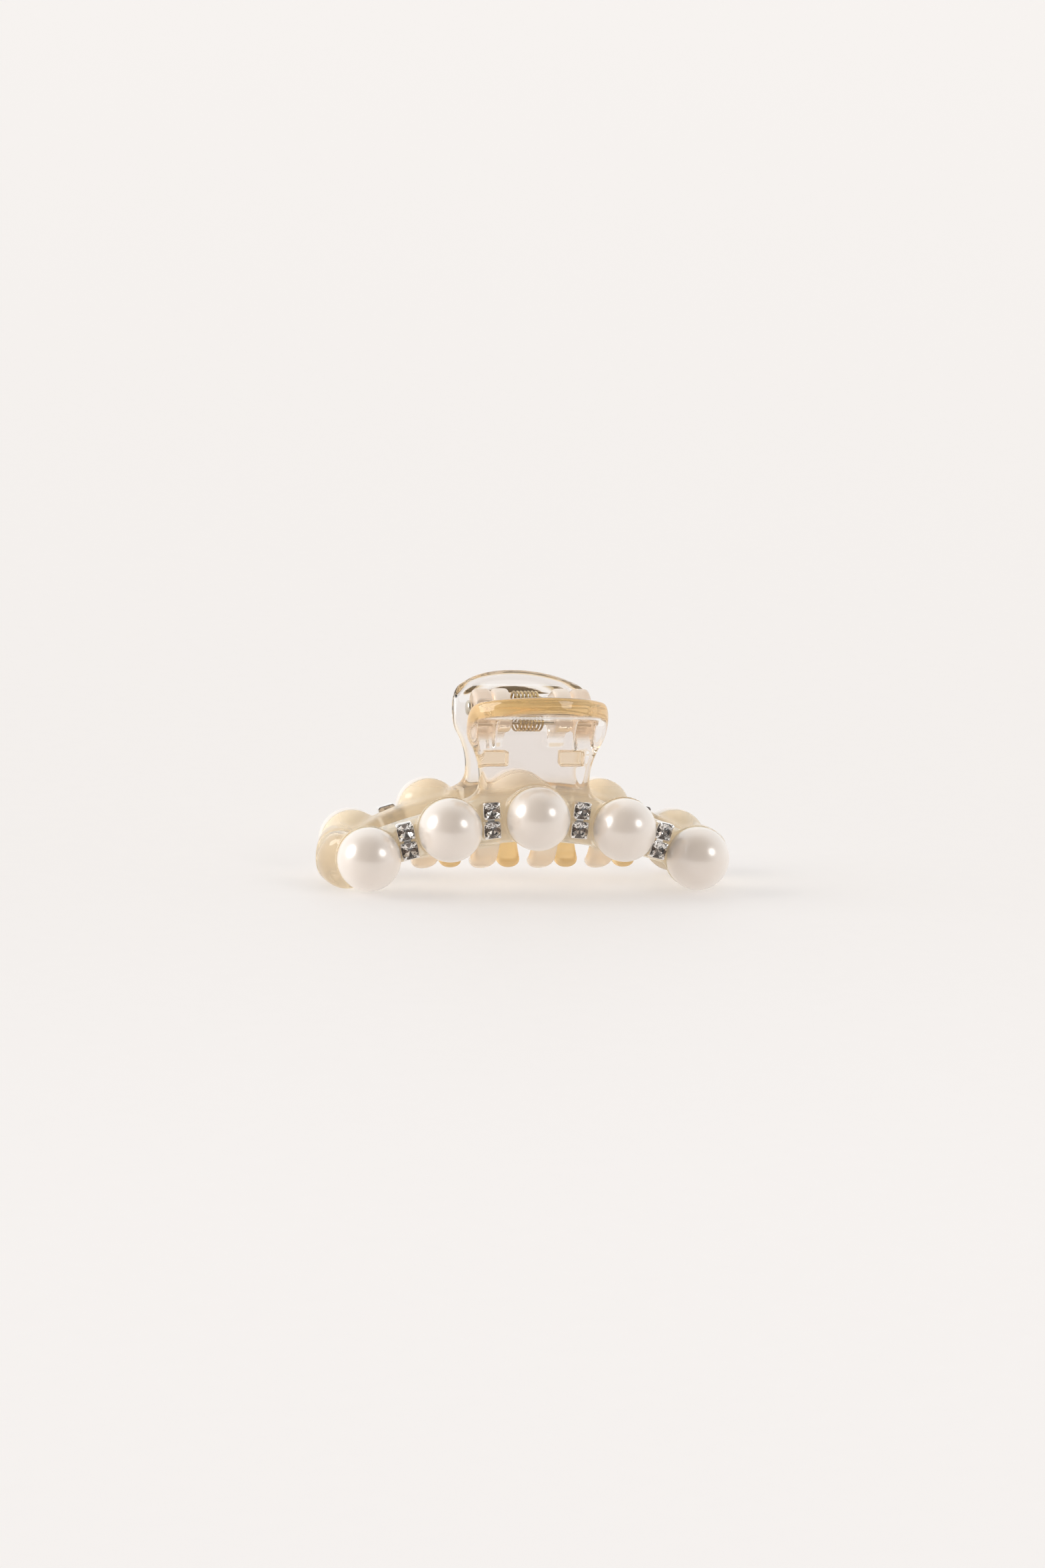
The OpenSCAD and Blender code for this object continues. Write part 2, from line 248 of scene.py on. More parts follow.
WIRE_RADIUS = 0.18
WIRE_COUNT = 14
# the wire's rounded end, as distance along it and size, both in wire radii
WIRE_END = ((0, 1), (0.2, 0.92), (0.45, 0.65), (0.55, 0.3))
COIL_RADIUS = 2.45
COIL_TURNS = 8
COIL_PITCH = 0.57
COIL_OFFSET = 0.6
TURN_STEPS = 40
LEG_END = (5.3, 1.2)
LEG_STEPS = 6

# ---- tints of the plastic, and how clear it is: 0 is milky and 1 is clear ----

CLEAR_TINT = (0.935, 0.92, 0.92)
BAND_TINT = {"front": (1.0, 0.95, 0.83), "rear": (1.0, 0.91, 0.76)}
EDGE_TINT = (1.0, 0.82, 0.55)
LIP_TINT = (1.0, 0.73, 0.34)
LUG_TINT = (0.94, 0.83, 0.72)
RIB_TINT = (0.96, 0.80, 0.58)
TOOTH_TINT = {"front": (1.0, 0.87, 0.70), "rear": (1.0, 0.78, 0.43)}
LOBE_TINT = (1.0, 0.95, 0.85)

BAND_CLEARNESS = 0.62
EDGE_CLEARNESS = 0.8
LIP_CLEARNESS = 0.72
LUG_CLEARNESS = 0.45
RIB_CLEARNESS = 0.75
TOOTH_CLEARNESS = 0.5
LOBE_CLEARNESS = 0.85
EDGE_SHARE = 0.85

# where each tint begins and where it is full, in mm
BAND_TINT_Z = (16.5, 12.5)
EDGE_TINT_DEPTH = (0.8, 0.1)
EDGE_TINT_Z = (13, 16)
LIP_TINT_DEPTH = {"front": (0.5, 0.2), "rear": (0.3, 0.05)}
LIP_TINT_Z = (24.5, 26.5)
LUG_TINT_Y = (3.3, 2.6)
LUG_TINT_Z = (22, 23.5)
RIB_TINT_X = (2.2, 1.9)
RIB_TINT_Y = (3.45, 3.25)
RIB_TINT_Z = (1.5, 1.2)
TOOTH_TINT_X = (19, 18)
TOOTH_TINT_Z = (0.2, -0.9)
LOBE_TINT_X = (26, 29.5)

# ---- the other finishes: a darker and a lighter tone of each ----

NACRE = ((0.90, 0.79, 0.69), (0.94, 0.83, 0.74))
# the pearls' coat toward its rim: a painted sheen, mixed in by view angle
NACRE_PAINTED_RIM_SHEEN = (0.95, 0.87, 0.79)
CREAM_CORE = ((0.86, 0.77, 0.63), (0.90, 0.82, 0.69))
BRIGHT_SILVER = ((0.88, 0.86, 0.84), (0.98, 0.97, 0.96))
STAMPED_SILVER = ((0.16, 0.14, 0.13), (0.78, 0.76, 0.75))
NICKEL = ((0.55, 0.48, 0.38), (0.72, 0.66, 0.56))
BRASSY_WIRE = ((0.34, 0.23, 0.09), (0.74, 0.56, 0.29))
FOIL = ((0.97, 0.93, 0.89), (1.0, 0.98, 0.95))
# foil painted dark on some back facets: a painted dark reflection
PAINTED_DARK_REFLECTION_FOIL = ((0.12, 0.10, 0.09), (0.30, 0.25, 0.22))
FLOW_TINT = (1.0, 0.96, 0.90)
DEPTH_TINT = (1.0, 0.78, 0.45, 1)

# ---- camera, floor and light ----

CAMERA_AZIMUTH = math.radians(-13.76)
CAMERA_ELEVATION = math.radians(11.95)
CAMERA_ROLL = math.radians(2.64)
CAMERA_DISTANCE = 0.70
FRAME_HEIGHT = 0.2379
SENSOR_SIZE = 36
AIM_UP = 0.01498
AIM_RIGHT = 0.0001

FLOOR_RINGS = (0.0001, 0.05, 0.2, 0.8, 3, 12)
FLOOR_COUNT = 64
FLOOR_FAR = ((0.484, 0.470, 0.460), (0.492, 0.478, 0.468))
# the floor toward the camera, painted lighter: a painted pool of light
FLOOR_NEAR_PAINTED_LIGHT = ((0.516, 0.505, 0.500), (0.524, 0.513, 0.508))
FLOOR_FADE_Y = (0.05, -0.2)
FLOOR_GLOW = (1, 0.965, 0.945, 1)
FLOOR_GLOW_STRENGTH = 0.425

LAMP_COLOUR = (1, 0.985, 0.96)
DARK_WAY = (-0.2, -0.75, 0.62)
ROOM_FADE = (0.2, 0.85)
ROOM_COLOURS = ((1, 0.99, 0.98), (0.20, 0.185, 0.17))
LIGHT_BOUNCES = 24


# ---- places along the band ----

def arch_z(x):
    """Height of the line that the pearls and crystals sit on."""
    return ARCH_CENTRE + math.sqrt(ARCH_RADIUS**2 - x * x)


def pair_pose(at):
    """How a crystal pair at this x stands: its turn with the face, its lean, and its y."""
    turn = math.asin(max(0.0, at - FACE_START) / FACE_RADIUS)
    lean = PAIR_LEAN * math.asin(at / ARCH_RADIUS)
    face_y = OUTER_FACE - FACE_RADIUS * (1 - math.cos(turn)) - CUP_SEAT
    return turn, lean, face_y


# ---- distance fields: how far a point is outside a shape, negative inside it ----

def smooth_max(a, b, soft):
    """Both shapes at once, with the edge between them rounded."""
    near = np.maximum(soft - np.abs(a - b), 0) / soft
    return np.maximum(a, b) + near * near * soft / 4


def smooth_min(a, b, soft):
    """Either shape, with a fillet where they meet."""
    return -smooth_max(-a, -b, soft)


def polygon_distance(u, v, corners):
    """Distance to a flat outline given by its corners."""
    best = np.inf
    inside = np.zeros(np.broadcast(u, v).shape, bool)
    for (ax, ay), (bx, by) in zip(corners, corners[1:] + corners[:1]):
        ex, ey = bx - ax, by - ay
        along = np.clip(((u - ax) * ex + (v - ay) * ey) / (ex * ex + ey * ey), 0, 1)
        best = np.minimum(best, np.hypot(u - ax - along * ex, v - ay - along * ey))
        if ay != by:
            inside ^= ((v < ay) != (v < by)) & (u < ax + (v - ay) * ex / ey)
    return np.where(inside, -best, best)


def point_distance(x, y, z, centre):
    """Distance to a point."""
    return np.sqrt((x - centre[0]) ** 2 + (y - centre[1]) ** 2 + (z - centre[2]) ** 2)


def band_distance(ax, y, z):
    """The arched band with its two round end lobes."""
    top = np.hypot(ax, z - ARCH_CENTRE) - (ARCH_RADIUS + BAND_ABOVE)
    bottom = BOTTOM_RADIUS - np.hypot(ax, z - (BAND_BOTTOM - BOTTOM_RADIUS))
    strip = np.maximum(np.maximum(top, bottom), ax - LOBE_CENTRE)
    lobe = np.hypot(ax - LOBE_CENTRE, z - LOBE_RADIUS) - LOBE_RADIUS
    outline = smooth_min(strip, lobe, LOBE_FILLET)
    outer = np.where(
        ax < FACE_START,
        y - OUTER_FACE,
        np.hypot(ax - FACE_START, y - (OUTER_FACE - FACE_RADIUS)) - FACE_RADIUS,
    )
    inner = np.where(
        ax < INNER_START,
        INNER_FACE - y,
        INNER_RADIUS - np.hypot(ax - INNER_START, y - (INNER_FACE - INNER_RADIUS)),
    )
    plan = smooth_max(outer, ax - LOBE_CENTRE - LOBE_RADIUS, BAND_END_ROUND)
    solid = smooth_max(outline, plan, BAND_EDGE_ROUND)
    solid = smooth_max(solid, inner, BAND_INNER_ROUND)
    return smooth_max(solid, HALF_GAP - y, GAP_ROUND)


def neck_half_width(z):
    """Flared at the foot, narrow at the waist, wide at the shoulders."""
    narrow = NECK_HALF - TAB_LEAN
    rise = SHOULDER_Z - WAIST_Z
    waist_r = (rise**2 + narrow**2 - SHOULDER_R**2) / (2 * (SHOULDER_R - narrow))
    meet_z = SHOULDER_Z - SHOULDER_R * rise / (waist_r + SHOULDER_R)
    foot = FLARE_X - np.sqrt(FLARE_R**2 - np.clip(z - FLARE_Z, -FLARE_R, 0) ** 2)
    waist = NECK_HALF + waist_r - np.sqrt(waist_r**2 - np.clip(z - WAIST_Z, 0, rise) ** 2)
    below = np.clip(z - SHOULDER_Z, meet_z - SHOULDER_Z, 0)
    shoulder = TAB_LEAN + np.sqrt(SHOULDER_R**2 - below**2)
    return np.where(z < WAIST_Z, foot, np.where(z < meet_z, waist, shoulder))


def tip_reach(y, z):
    """How far a point is along the finger tab's leaning tip."""
    return y * math.cos(TIP_LEAN) + z * math.sin(TIP_LEAN)


def tab_outline_distance(ax, w):
    """The finger tab's outline, across the tab (ax) and along its leaning tip (w)."""
    rise = TIP_REACH - TAB_SHOULDER
    arc = (TAB_LEAN**2 + rise**2 - TAB_SIDE**2) / (2 * (rise - TAB_SIDE)) - TIP_ARC_TIGHTER
    sides = np.maximum(ax - TAB_HALF, w - TAB_SHOULDER)
    corner = np.hypot(ax - TAB_LEAN, w - TAB_SHOULDER) - TAB_SIDE
    meet = TIP_ARC_SHARE * TAB_LEAN * arc / (arc - TAB_SIDE)
    top = np.maximum(np.hypot(ax, w - (TIP_REACH - arc)) - arc, ax - meet)
    return smooth_min(np.minimum(sides, corner), top, TAB_CORNER_ROUND)


def curl_distance(y, z, centre_z, radius):
    """How far above the curl a point is: upright, then an arc, then a straight leaning lip."""
    out = y - CURL_OUT
    rise = z - centre_z
    across = rise * math.cos(TIP_LEAN) - out * math.sin(TIP_LEAN)
    along = out * math.cos(TIP_LEAN) + rise * math.sin(TIP_LEAN)
    arc = np.hypot(out, rise) - radius
    return np.where(along > 0, across - radius, np.where(rise < 0, -out - radius, arc))


def tab_distance(ax, y, z):
    """The neck and the finger tab that curls outward from it."""
    hinge_side = curl_distance(y, z, CURL_Z, CURL_RADIUS)
    finger_side = -curl_distance(y, z, BEND_Z, BEND_RADIUS)
    sheet = np.maximum(np.maximum(hinge_side, finger_side), NECK_FOOT_Z - z)
    sheet = smooth_max(sheet, NECK_SIDE_SLOPE * (ax - neck_half_width(z)), NECK_ROUND)
    return smooth_max(sheet, tab_outline_distance(ax, tip_reach(y, z)), TAB_ROUND)


def lug_distance(ax, y, z, span):
    """A round eye on the hinge axis with a web down to the neck."""
    eye = np.hypot(y, z - AXIS_Z) - LUG_RADIUS
    web = polygon_distance(y, z - AXIS_Z, WEB_OUTLINE)
    sides = np.abs(ax - (span[0] + span[1]) / 2) - (span[1] - span[0]) / 2
    return smooth_max(smooth_min(eye, web, WEB_FILLET), sides, LUG_ROUND)


def tooth_distance(x, y, z, at):
    """A finger bending inward, with a rounded tip."""
    arc_y, arc_z = TOOTH_ARC
    ring = np.abs(np.hypot(y - arc_y, z - arc_z) - TOOTH_RADIUS) - TOOTH_THICK
    tip = (arc_z - z) * math.sin(TOOTH_LEAN) - (y - arc_y) * math.cos(TOOTH_LEAN)
    front = np.hypot(x - at, TOOTH_TIP_ROUND * np.minimum(z - TOOTH_TIP_Z, 0)) - TOOTH_HALF
    tooth = smooth_max(smooth_max(ring, tip, TOOTH_END_ROUND), front, TOOTH_SIDE_ROUND)
    return np.maximum(tooth, z - arc_z)


def rib_distance(ax, y, z):
    """A small bar on the hinge side of the neck."""
    rib = np.maximum(np.abs(z - RIB_Z) - RIB_HALF_HEIGHT, RIB_Y[0] - y)
    rib = np.maximum(np.abs(ax - RIB_X) - RIB_HALF_WIDTH, rib)
    return np.maximum(rib, y - RIB_Y[1])


def seat_distance(ax, y, z, at):
    """The shallow seat that a pair of crystals is pressed into."""
    turn, lean, face_y = pair_pose(at)
    u = (ax - at) * math.cos(turn) - (y - face_y) * math.sin(turn)
    out = (ax - at) * math.sin(turn) + (y - face_y) * math.cos(turn)
    rise = z - arch_z(at)
    across = u * math.cos(lean) - rise * math.sin(lean)
    along = u * math.sin(lean) + rise * math.cos(lean)
    half = (STONE_SPACING + SETTING_WIDTH) / 2 + SEAT_PLAY
    sides = np.maximum(np.abs(across) - SETTING_HALF - SEAT_PLAY, np.abs(along) - half)
    return np.maximum(sides, -SEAT_PLAY - out)


def jaw_distance(x, y, z, lugs, ribs, pearls):
    """One whole jaw: everything moulded in one piece, less its cavities."""
    ax = np.abs(x)
    solid = smooth_min(band_distance(ax, y, z), tab_distance(ax, y, z), NECK_FILLET)
    solid = smooth_min(solid, lug_distance(ax, y, z, lugs), LUG_FILLET)
    for at in TOOTH_X:
        solid = smooth_min(solid, tooth_distance(x, y, z, at), TOOTH_FILLET)
    if ribs:
        solid = smooth_min(solid, rib_distance(ax, y, z), RIB_FILLET)
    for centre in pearls:
        ball = point_distance(ax, y, z, centre) - CUP_RADIUS
        cup = smooth_max(ball, y - centre[1] + CUP_RIM, CUP_RIM_ROUND)
        solid = smooth_min(solid, np.maximum(cup, HALF_GAP - y), CUP_FILLET)
    for centre in pearls:
        outside_ball = CAVITY_RADIUS - point_distance(ax, y, z, centre)
        solid = smooth_max(solid, outside_ball, CAVITY_ROUND)
    for at in PAIR_X:
        solid = np.maximum(solid, -seat_distance(ax, y, z, at))
    return np.maximum(solid, BORE_RADIUS - np.hypot(y, z - AXIS_Z))


# ---- from a distance field to a mesh ----

CORNERS = [(i, j, k) for i in (0, 1) for j in (0, 1) for k in (0, 1)]


def surface_nets(field):
    """Points, in grid steps, and quads where the field crosses zero: one point a mixed cell."""
    inside = field < 0
    cells = tuple(n - 1 for n in field.shape)
    count = np.zeros(cells, np.int8)
    for i, j, k in CORNERS:
        count += inside[i:i + cells[0], j:j + cells[1], k:k + cells[2]]
    at = np.argwhere((count > 0) & (count < len(CORNERS)))
    number = np.full(cells, -1, np.int64)
    number[tuple(at.T)] = np.arange(len(at))
    total = np.zeros((len(at), 3))
    hits = np.zeros((len(at), 1))
    quads = []
    units = np.eye(3, dtype=np.int64)
    for axis in range(3):
        unit = units[axis]
        for corner in CORNERS:
            if corner[axis]:
                continue
            here = at + corner
            a = field[tuple(here.T)]
            b = field[tuple((here + unit).T)]
            crossed = ((a < 0) != (b < 0))[:, None]
            share = (a / np.where(a == b, 1, a - b))[:, None]
            total += np.where(crossed, here + share * unit, 0)
            hits += crossed
        low = np.moveaxis(inside, axis, 0)[:-1]
        high = np.moveaxis(inside, axis, 0)[1:]
        edge = np.argwhere(low != high)
        leaving = low[tuple(edge.T)]
        if axis:
            edge = np.insert(np.delete(edge, 0, 1), axis, edge[:, 0], 1)
        u = units[(axis + 1) % 3]
        v = units[(axis + 2) % 3]
        ring = np.stack([number[tuple((edge - d).T)] for d in (u + v, v, 0 * u, u)], 1)
        ring[~leaving] = ring[~leaving, ::-1]
        quads.append(ring)
    return total / hits, np.concatenate(quads)


def settle(points, distance, rounds=3, probe=0.02, longest=0.15, least_slope=0.3):
    """Moves each point onto the surface exactly, a short way at a time."""
    for _ in range(rounds):
        value = distance(*points.T)
        slope = np.stack([
            (distance(*(points + d).T) - distance(*(points - d).T)) / (2 * probe)
            for d in probe * np.eye(3)
        ], 1)
        size = np.maximum((slope**2).sum(1), least_slope)
        move = np.clip(value / size, -longest, longest)
        points = points - move[:, None] * slope
    return points


def new_object(name, data):
    """A new object, added to the scene."""
    made = bpy.data.objects.new(name, data)
    bpy.context.scene.collection.objects.link(made)
    return made


def mesh_object(name, points, faces, smooth=True):
    """A new object from points in metres."""
    mesh = bpy.data.meshes.new(name)
    mesh.from_pydata([tuple(p) for p in points], [], [tuple(map(int, f)) for f in faces])
    mesh.validate()
    if smooth:
        mesh.shade_smooth()
    return new_object(name, mesh)


def loft(rings, closed=True):
    """Points and faces of a skin over rings of equal length, capped at both ends."""
    size = len(rings[0])
    points = [p for r in rings for p in r]
    faces = []
    for k in range(len(rings) - 1):
        for j in range(size):
            n = (j + 1) % size
            faces.append((k * size + j, k * size + n, (k + 1) * size + n, (k + 1) * size + j))
    if closed:
        faces.append(tuple(range(size))[::-1])
        last = (len(rings) - 1) * size
        faces.append(tuple(last + j for j in range(size)))
    return points, faces


def join_meshes(parts):
    """Several (points, faces) as one."""
    points, faces = [], []
    for more, skins in parts:
        base = len(points)
        points += list(more)
        faces += [tuple(base + i for i in f) for f in skins]
    return points, faces


def shifted(part, dy):
    """(points, faces) moved along y."""
    points, faces = part
    return [(x, y + dy, z) for x, y, z in points], faces


# ---- jaws ----

def step(value, start, end):
    """A smooth step from 0 at start to 1 at end."""
    t = np.clip((value - start) / (end - start), 0, 1)
    return t * t * (3 - 2 * t)


def plastic_tint(side, x, y, z):
    """Colour and clearness over a jaw: amber at the edges, milky in the lugs, band and teeth."""
    ax = np.abs(x)
    lip_depth = -tab_outline_distance(ax, tip_reach(y, z))
    band_foot = BAND_BOTTOM - BOTTOM_RADIUS + np.sqrt(BOTTOM_RADIUS**2 - ax**2)
    band = step(z, *BAND_TINT_Z)
    edge = step(neck_half_width(z) - ax, *EDGE_TINT_DEPTH) * step(z, *EDGE_TINT_Z)
    lip = step(lip_depth, *LIP_TINT_DEPTH[side]) * step(z, *LIP_TINT_Z)
    lug = step(y, *LUG_TINT_Y) * step(z, *LUG_TINT_Z)
    rib = step(y, *RIB_TINT_Y) * step(abs(z - RIB_Z), *RIB_TINT_Z)
    rib = rib * step(abs(ax - RIB_X), *RIB_TINT_X)
    tooth = step(z - band_foot, *TOOTH_TINT_Z) * step(ax, *TOOTH_TINT_X)
    lobe = step(ax, *LOBE_TINT_X)
    layers = (
        (band, BAND_TINT[side], BAND_CLEARNESS),
        (EDGE_SHARE * edge, EDGE_TINT, EDGE_CLEARNESS),
        (lip, LIP_TINT, LIP_CLEARNESS),
        (lug, LUG_TINT, LUG_CLEARNESS),
        (rib, RIB_TINT, RIB_CLEARNESS),
        (tooth, TOOTH_TINT[side], TOOTH_CLEARNESS),
        (lobe, LOBE_TINT, LOBE_CLEARNESS),
    )
    colour = np.tile(CLEAR_TINT, (len(x), 1))
    clear = np.ones(len(x))
    for share, tint, clearness in layers:
        colour += share[:, None] * (np.array(tint) - colour)
        clear += share * (clearness - clear)
    return colour, clear


def store(mesh, name, kind, values):
    """A value for every vertex of a mesh."""
    layer = mesh.attributes.new(name, kind, "POINT")
    field = "color" if kind == "FLOAT_COLOR" else "value"
    layer.data.foreach_set(field, np.ravel(values).astype(np.float32))


def pearl_centres(side):
    """Centres in mm of the middle pearl and the two beside it on one side, opening toward +Y."""
    centres = []
    for number in (3, 4, 5):
        low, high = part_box(f"{side}_pearl_{number}")
        centre = (low + high) / 2 / MM
        centres.append((abs(centre.x), abs(centre.y), centre.z))
    return centres


def jaw(side, lugs, ribs):
    """The moulded jaw of one half."""
    turn = -1 if side == "front" else 1
    pearls = pearl_centres(side)

    def distance(x, y, z):
        return jaw_distance(x, y, z, lugs, ribs, pearls)

    x, y, z = [np.arange(a, b, GRID_STEP) for a, b in zip(GRID_LOW, GRID_HIGH)]
    field = distance(x[:, None, None], y[None, :, None], z[None, None, :])
    points, quads = surface_nets(field)
    points = settle(np.array(GRID_LOW) + points * GRID_STEP, distance)
    made = mesh_object(f"{side}_moulded_jaw", points * MM * (turn, turn, 1), quads)
    colour, clear = plastic_tint(side, *points.T)
    store(made.data, "tint", "FLOAT_COLOR", np.column_stack([colour, np.ones(len(colour))]))
    store(made.data, "clearness", "FLOAT", clear)
    made.data.materials.append(champagne_plastic())
    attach(made, f"{side}_half")
    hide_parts(f"{side}_jaw")


# ---- materials ----

def set_inputs(made, **values):
    """Sets a node's unlinked inputs, with _ for each space in a name."""
    for key, value in values.items():
        made.inputs[key.replace("_", " ")].default_value = value


def new_material(name):
    """A material with a Principled shader; returns it, its node tree and the shader."""
    material = bpy.data.materials.new(name)
    material.use_nodes = True
    tree = material.node_tree
    return material, tree, tree.nodes["Principled BSDF"]


def node(tree, kind, **values):
    """A node with its settings and unlinked inputs; names with a capital are inputs."""
    made = tree.nodes.new(kind)
    for key, value in values.items():
        if key[0].isupper():
            set_inputs(made, **{key: value})
        else:
            setattr(made, key, value)
    return made


def grain(tree, scale, detail):
    """Fine noise in the piece's own coordinates."""
    where = node(tree, "ShaderNodeTexCoord")
    speckle = node(tree, "ShaderNodeTexNoise", Scale=scale, Detail=detail)
    tree.links.new(where.outputs["Object"], speckle.inputs["Vector"])
    return speckle


def ramp(tree, source, low, high, colours):
    """A colour that follows a value between two stops."""
    made = node(tree, "ShaderNodeValToRGB")
    made.color_ramp.elements[0].position = low
    made.color_ramp.elements[1].position = high
    made.color_ramp.elements[0].color = (*colours[0], 1)
    made.color_ramp.elements[1].color = (*colours[1], 1)
    tree.links.new(source, made.inputs["Fac"])
    return made


def bump(tree, shader, height, strength, distance):
    """Relief from a height value; distance in metres."""
    made = node(tree, "ShaderNodeBump", Strength=strength, Distance=distance)
    tree.links.new(height, made.inputs["Height"])
    tree.links.new(made.outputs["Normal"], shader.inputs["Normal"])


def through_shadow(tree, shader):
    """Lets lamp light pass straight through clear pieces, so that they cast pale shadows."""
    path = node(tree, "ShaderNodeLightPath")
    clear = node(tree, "ShaderNodeBsdfTransparent")
    either = node(tree, "ShaderNodeMixShader")
    tree.links.new(path.outputs["Is Shadow Ray"], either.inputs["Fac"])
    tree.links.new(shader.outputs["BSDF"], either.inputs[1])
    tree.links.new(clear.outputs["BSDF"], either.inputs[2])
    tree.links.new(either.outputs["Shader"], tree.nodes["Material Output"].inputs["Surface"])


def scaled(tree, value, from_span, to_span=(0.0, 1.0)):
    """A value carried smoothly from one span to another and held at its ends."""
    made = node(
        tree, "ShaderNodeMapRange", interpolation_type="SMOOTHSTEP",
        From_Min=from_span[0], From_Max=from_span[1], To_Min=to_span[0], To_Max=to_span[1],
    )
    tree.links.new(value, made.inputs["Value"])
    return made.outputs["Result"]


def mixed(tree, share, first, second):
    """A colour between two others; each is a colour or a socket."""
    made = node(tree, "ShaderNodeMix", data_type="RGBA")
    tree.links.new(share, made.inputs["Factor"])
    for socket, value in ((made.inputs[6], first), (made.inputs[7], second)):
        if isinstance(value, tuple):
            socket.default_value = (*value, 1)
        else:
            tree.links.new(value, socket)
    return made.outputs[2]


@cache
def champagne_plastic():
    """Clear moulded plastic; each jaw's mesh says how tinted and how clear each spot is."""
    material, tree, shader = new_material("clear_champagne")
    tint = node(tree, "ShaderNodeAttribute", attribute_name="tint")
    clearness = node(tree, "ShaderNodeAttribute", attribute_name="clearness")
    flow = grain(tree, scale=120, detail=2)
    paler = scaled(tree, flow.outputs["Fac"], from_span=(0.3, 0.8), to_span=(0.0, 0.06))
    colour = mixed(tree, paler, tint.outputs["Color"], FLOW_TINT)
    tree.links.new(colour, shader.inputs["Base Color"])
    tree.links.new(clearness.outputs["Fac"], shader.inputs["Transmission Weight"])
    set_inputs(shader, Roughness=0.03, IOR=1.49)
    waves = grain(tree, scale=260, detail=2)
    bump(tree, shader, waves.outputs["Fac"], strength=0.06, distance=0.0002)
    through_shadow(tree, shader)
    depth = node(tree, "ShaderNodeVolumeAbsorption", Color=DEPTH_TINT, Density=26)
    tree.links.new(depth.outputs["Volume"], tree.nodes["Material Output"].inputs["Volume"])
    return material


@cache
def pearl_coat():
    """Nacre: a satin pearly coat whose colour is painted by view angle as a painted sheen: greyer
    where it faces the eye and paler at the rim.
    """
    material, tree, shader = new_material("nacre")
    clouds = grain(tree, scale=180, detail=3)
    tone = ramp(tree, clouds.outputs["Fac"], 0.3, 0.7, NACRE)
    # painted sheen: the coat's colour turns paler toward the rim and greyer where it faces the eye
    facing = node(tree, "ShaderNodeLayerWeight", Blend=0.5)
    rim = scaled(tree, facing.outputs["Facing"], from_span=(0.1, 0.7))
    colour = mixed(tree, rim, tone.outputs["Color"], NACRE_PAINTED_RIM_SHEEN)
    tree.links.new(colour, shader.inputs["Base Color"])
    set_inputs(shader, Roughness=0.3, IOR=2.5)
    set_inputs(shader, Coat_Weight=0.85, Coat_IOR=1.8, Coat_Roughness=0.15)
    fine = grain(tree, scale=2500, detail=2)
    bump(tree, shader, fine.outputs["Fac"], strength=0.06, distance=0.00005)
    return material


@cache
def pearl_core():
    """The uncoated cream resin on the glued back of a pearl."""
    material, tree, shader = new_material("cream_core")
    clouds = grain(tree, scale=260, detail=3)
    tone = ramp(tree, clouds.outputs["Fac"], 0.3, 0.7, CREAM_CORE)
    tree.links.new(tone.outputs["Color"], shader.inputs["Base Color"])
    set_inputs(shader, Roughness=0.5)
    return material


def metal(name, colours, roughness, scale):
    """Plated metal with faint uneven polish."""
    material, tree, shader = new_material(name)
    marks = grain(tree, scale, detail=4)
    tone = ramp(tree, marks.outputs["Fac"], 0.35, 0.65, colours)
    tree.links.new(tone.outputs["Color"], shader.inputs["Base Color"])
    set_inputs(shader, Metallic=1, Roughness=roughness)
    bump(tree, shader, marks.outputs["Fac"], strength=0.08, distance=0.00005)
    return material


@cache
def silver_cup():
    """The bright plating of the cups and prongs."""
    return metal("bright_silver", BRIGHT_SILVER, roughness=0.14, scale=900)


@cache
def cup_back():
    """The stamped backs of the cups: dull and unevenly dark."""
    return metal("stamped_silver", STAMPED_SILVER, roughness=0.25, scale=1400)


@cache
def pin_metal():
    """The warm grey of the hinge pin."""
    return metal("turned_nickel", NICKEL, roughness=0.24, scale=700)


@cache
def spring_wire():
    """The brassy wire of the spring."""
    return metal("drawn_wire", BRASSY_WIRE, roughness=0.25, scale=700)


@cache
def crystal_glass():
    """The clear crown of a cut stone."""
    material, tree, shader = new_material("crystal_glass")
    set_inputs(shader, Base_Color=(1, 1, 1, 1), Roughness=0.0, IOR=1.58, Transmission_Weight=1)
    dust = grain(tree, scale=1500, detail=1)
    bump(tree, shader, dust.outputs["Fac"], strength=0.02, distance=0.00002)
    return material


@cache
def crystal_foil():
    """The mirror foil behind the stone's pointed back."""
    return metal("crystal_foil", FOIL, roughness=0.03, scale=600)


@cache
def crystal_painted_dark_reflection():
    """Foil facets painted dark: a painted dark reflection."""
    return metal("crystal_painted_dark_reflection", PAINTED_DARK_REFLECTION_FOIL, roughness=0.08, scale=600)


# ---- pearls ----

def pearl_rings(centre, radius, out):
    """Rings from a pearl's glued back to its front, with one ring on the edge of its coat."""
    edge = math.asin(COAT_EDGE * MM / radius)
    back = np.linspace(-PEARL_POLE, -edge, BACK_RINGS)
    front = np.linspace(-edge, PEARL_POLE, FRONT_RINGS)[1:]
    rings = []
    for rise in (*back, *front):
        ring = []
        for turn in np.linspace(0, out * 2 * math.pi, PEARL_COUNT, endpoint=False):
            across = math.cos(rise) * math.cos(turn)
            up = -math.cos(rise) * math.sin(turn)
            way = Vector((across, out * math.sin(rise), up))
            wave = noise.noise(way * WAVE_SCALE + centre * WAVE_SPREAD)
            ring.append(centre + way * radius * (PEARL_SHARE + WAVE_SHARE * wave))
        rings.append(ring)
    return rings


